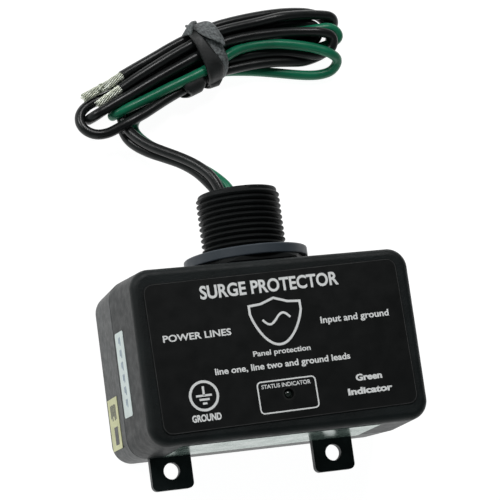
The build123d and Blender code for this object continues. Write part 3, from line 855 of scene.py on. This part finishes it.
def nipple_tube():
    """The threaded tube: the neck, the helical thread, the plain lead-in, the mouth and the bore."""
    columns = 96
    helix, rows_a_turn = thread_rows(columns)
    rows = [[(bore_radius, 29.0)] * columns, [(neck_radius, 29.0)] * columns] + helix
    helix_start, helix_end = 2, len(rows)
    for radius, y in (
        (lead_in_radius, 52.1), (lead_in_radius, mouth_y - 0.45), (lead_in_radius - 0.15, mouth_y - 0.12),
        (lead_in_radius - 0.5, mouth_y), (bore_radius + 0.45, mouth_y), (bore_radius + 0.1, mouth_y - 0.15),
        (bore_radius, mouth_y - 0.5),
    ):
        rows.append([(radius, y)] * columns)

    def corner(row, column, wraps):
        # across the seam of the helix, each of its rows meets the row one turn back
        if wraps and helix_start <= row < helix_end:
            row = max(row - rows_a_turn, helix_start)
        return row * columns + column

    faces = []
    for i in range(len(rows)):
        k = (i + 1) % len(rows)
        for j in range(columns):
            m = (j + 1) % columns
            face = (corner(i, j, False), corner(i, m, m == 0), corner(k, m, m == 0), corner(k, j, False))
            # the rows that fall together below the first turn leave no face
            if len(set(face)) == 4:
                faces.append(face)
    return around_axis(rows, columns), faces


tube = piece("nipple_tube", *nipple_tube(), nipple_nylon, "nipple", replaces=["conduit_nipple"])
sharpen(tube, 35)

flange = {"from": 27.8, "to": 29.4, "flats": 36.5, "bevel": 19.4, "slope": math.tan(math.radians(35))}


def hexagon(angle):
    """Distance from the axis to a hexagon with a corner at angle zero, corners slightly rounded."""
    turned = (angle + math.pi / 6) % (math.pi / 3) - math.pi / 6
    sharp = flange["flats"] / 2 / math.cos(math.pi / 6 - abs(turned))
    return min(sharp, flange["flats"] / 2 / math.cos(math.pi / 6) - 0.25)


def nipple_flange():
    """The bevelled hexagonal flange with the neck and collar that hold the nipple in the box."""
    columns = 180
    collar = ((bore_radius, 22.5), (15.7, 22.5), (16.0, 22.8), (16.0, 24.3), (15.7, 24.6), (13.2, 24.6),
              (13.2, flange["from"]))
    rings = [[level] * columns for level in collar]
    low, side, bevel, face = [], [], [], []
    for column in range(columns):
        # the first column is at the top of the axis, a quarter turn from a corner
        radius = hexagon(2 * math.pi * column / columns - math.pi / 2)
        bevel_y = flange["to"] - max(radius - flange["bevel"], 0) * flange["slope"] - 0.12
        low.append((radius - 0.2, flange["from"]))
        side.append((radius, flange["from"] + 0.2))
        bevel.append((radius, bevel_y))
        face.append((min(radius - 0.15, flange["bevel"]), flange["to"]))
    rings += [low, side, bevel, face]
    rings += [[(radius, flange["to"])] * columns for radius in (12.0, bore_radius)]
    return around_axis(rings, columns), grid_faces(len(rings), columns, closed_rows=True)


flange_piece = piece("nipple_flange", *nipple_flange(), nipple_nylon, "nipple", replaces=["conduit_nipple"])
sharpen(flange_piece, 30)

# ---------------------------------------------------------------- print on the front label, and the painted highlight along its edge
LABEL_TURN = math.radians(1.15)
PRINT_THICKNESS = 0.04
INK_GAP = 0.02
label_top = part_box("front_label")[1].z / MM


def prism(outlines, thickness, place):
    """Closed flat solids over plane outlines, lifted by place(x, y, height)."""
    points, faces = [], []
    for outline in outlines:
        base, count = len(points), len(outline)
        points += [place(x, y, thickness) for x, y in outline]
        points += [place(x, y, 0.0) for x, y in outline]
        faces.append(tuple(base + k for k in range(count)))
        faces.append(tuple(base + count + k for k in reversed(range(count))))
        for k in range(count):
            m = (k + 1) % count
            faces.append((base + k, base + count + k, base + count + m, base + m))
    return points, faces


def front(x, y, lift):
    """A point on the front label, lifted off it."""
    return Vector((x, y, label_top + INK_GAP + lift)) * MM


def turned(x, y, middle):
    """A point of a mark drawn about its own middle, turned with the label."""
    return (
        middle[0] + x * math.cos(LABEL_TURN) - y * math.sin(LABEL_TURN),
        middle[1] + x * math.sin(LABEL_TURN) + y * math.cos(LABEL_TURN),
    )


def stroke(line, width, closed=False):
    """A line of even width as one quad for each run, mitred at its corners."""
    line = [Vector(p) for p in line]
    count = len(line)
    sides = []
    for k, here in enumerate(line):
        before = line[k - 1] if closed or k > 0 else here
        after = line[(k + 1) % count] if closed or k < count - 1 else here
        arriving = (here - before).normalized() if here != before else (after - here).normalized()
        leaving = (after - here).normalized() if here != after else arriving
        bisector = Vector((-(arriving.y + leaving.y), arriving.x + leaving.x)).normalized()
        spread = width / 2 / max(0.35, bisector.dot(Vector((-arriving.y, arriving.x))))
        sides.append((here + bisector * spread, here - bisector * spread))
    quads = []
    for k in range(count if closed else count - 1):
        m = (k + 1) % count
        quads.append([tuple(sides[k][1]), tuple(sides[m][1]), tuple(sides[m][0]), tuple(sides[k][0])])
    return quads


def rounded_box(width, height, radius, steps=6):
    """The outline of a rectangle with round corners, about its middle."""
    outline = []
    for quarter, (sx, sy) in enumerate(((1, 1), (-1, 1), (-1, -1), (1, -1))):
        for step in range(steps + 1):
            angle = math.pi / 2 * (quarter + step / steps)
            outline.append((sx * (width / 2 - radius) + radius * math.cos(angle),
                            sy * (height / 2 - radius) + radius * math.sin(angle)))
    return outline


def bars(rows, width, height):
    """Plain bars of different lengths under each other, about their middle."""
    boxes = []
    for number, (share, shift) in enumerate(rows):
        low = height / 2 - (number + 0.8) * height / len(rows)
        high = low + height * 0.6 / len(rows)
        half = width * share / 2
        boxes.append([(shift - half, low), (shift + half, low), (shift + half, high), (shift - half, high)])
    return boxes


def printed(name, outlines, middle, finish=white_print):
    """A mark on the front label, drawn about its own middle; it draws the print and the painted highlight
    along the label's edge.
    """
    moved = [[turned(x, y, middle) for x, y in outline] for outline in outlines]
    points, faces = prism(moved, PRINT_THICKNESS, front)
    piece(name, points, faces, finish, "front_label", smooth=False)


def lettering(name, text, middle, width, height, bold):
    """Plain generic lettering, fitted to a width and a cap height."""
    data = bpy.data.curves.new(name, "FONT")
    data.body = text
    data.align_x = "CENTER"
    data.align_y = "CENTER"
    data.size = height / 0.7 * MM
    data.offset = bold * MM
    data.extrude = PRINT_THICKNESS / 2 * MM
    data.resolution_u = 4
    data.materials.append(white_print)
    made = bpy.data.objects.new(name, data)
    bpy.context.scene.collection.objects.link(made)
    bpy.context.view_layer.update()
    made.scale = (width * MM / made.dimensions.x, 1, 1)
    made.rotation_euler = (0, 0, LABEL_TURN)
    made.location = front(middle[0], middle[1], PRINT_THICKNESS / 2)
    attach(made, BODY)


for name, text, middle, width, height, bold in (
    ("heading", "SURGE PROTECTOR", (-1.6, 18.3), 44.7, 3.9, 0.16),
    ("print_left", "POWER LINES", (-26.4, 5.2), 21.5, 2.0, 0.07),
    ("print_right", "Input and ground", (24.5, 6.5), 22.5, 2.0, 0.07),
    ("print_under_mark", "Panel protection", (-0.4, -1.9), 18.5, 1.6, 0.05),
    ("print_long", "line one, line two and ground leads", (-0.6, -5.9), 43.5, 1.9, 0.07),
    ("print_under_ring", "GROUND", (-26.7, -19.7), 9.2, 2.0, 0.12),
    ("print_block_upper", "Green", (26.3, -12.4), 8.6, 1.9, 0.12),
    ("print_block_lower", "Indicator", (26.0, -16.5), 14.6, 1.9, 0.12),
    ("lamp_caption", "STATUS INDICATOR", (-0.6, -12.2), 15.8, 1.2, 0.03),
):
    lettering(name, text, middle, width, height, bold)

# shield with a wave, in the middle of the label
shield = []
for step in range(25):
    share = step / 24
    angle = math.pi * share
    shield.append((8.2 * math.cos(angle) * (1 - 0.1 * math.sin(angle)), 2.0 - 10.0 * math.sin(angle) ** 1.35))
shield += [(-8.2, 4.6), (-4.4, 4.9), (0.0, 6.4), (4.4, 4.9), (8.2, 4.6)]
wave = [(x / 10, 1.6 * math.sin(math.pi * x / 45)) for x in range(-45, 46, 5)]
printed("shield_mark", stroke(shield, 0.75, closed=True) + stroke(wave, 0.7), (-0.7, 8.2))

# earth sign in a ring, low on the left
ring = [(4.3 * math.cos(math.pi * k / 24), 4.3 * math.sin(math.pi * k / 24)) for k in range(48)]
earth = stroke([(0, 2.9), (0, 0.1)], 0.7)
for half, y in ((2.5, 0.1), (1.6, -1.1), (0.7, -2.3)):
    earth += stroke([(-half, y), (half, y)], 0.65)
printed("earth_mark", stroke(ring, 0.8, closed=True) + earth, (-26.7, -13.0))

printed("lamp_frame", stroke(rounded_box(18.6, 9.6, 1.2), 0.42, closed=True), (-0.35, -15.4))
label_width, label_height, edge_inset = 81.8, 45.7, 0.5
# the grey line around the label is a painted highlight of its edge, not print
label_edge_highlight = rounded_box(label_width - edge_inset, label_height - edge_inset, 2.8)
printed("label_edge_highlight", stroke(label_edge_highlight, 0.16, closed=True), (0.0, 0.0), finish=painted_edge_highlight)

# ---------------------------------------------------------------- print on the stickers of the left wall
STICKER_THICKNESS = 0.15
SEAM_Z = 23.4 * MM


def on_wall(low, high):
    """Places marks on a sticker of the left wall: x of the mark runs along -Y, y along +Z."""
    slope = (high.x - low.x - STICKER_THICKNESS * MM) / (high.z - low.z)
    # going up, the wall leans out below the seam and in above it
    lean = slope if low.z > SEAM_Z else -slope

    def place(x, y, lift):
        z = (low.z + high.z) / 2 + y * MM
        face = (low.x + high.x - STICKER_THICKNESS * MM) / 2 + lean * (z - (low.z + high.z) / 2)
        return Vector((face - (INK_GAP + lift) * MM, (low.y + high.y) / 2 - x * MM, z))

    return place


rows = [
    [(x + shift, y) for x, y in box]
    for shift in (-10.2, -6.4, -2.6, 1.2, 5.0, 8.8)
    for box in bars([(1, 0), (0.7, -0.3)], 2.6, 2.2)
]
side_place = on_wall(*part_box("side_label"))
side_print = prism(rows, PRINT_THICKNESS, side_place)
piece("side_label_print", *side_print, faded_ink, "white_label", smooth=False)
block = [[(1.0, -1.2), (6.6, -1.2), (6.6, 3.6), (1.0, 3.6)]]
lines_beside = bars([(0.9, 0), (1, 0), (0.7, -0.6), (1, 0), (0.8, -0.4)], 5.0, 8.0)
block += [[(x - 3.6, y) for x, y in box] for box in lines_beside]
rating_place = on_wall(*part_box("rating_label"))
rating_print = prism(block, PRINT_THICKNESS, rating_place)
piece("rating_label_print", *rating_print, dark_ink, "beige_label", smooth=False)
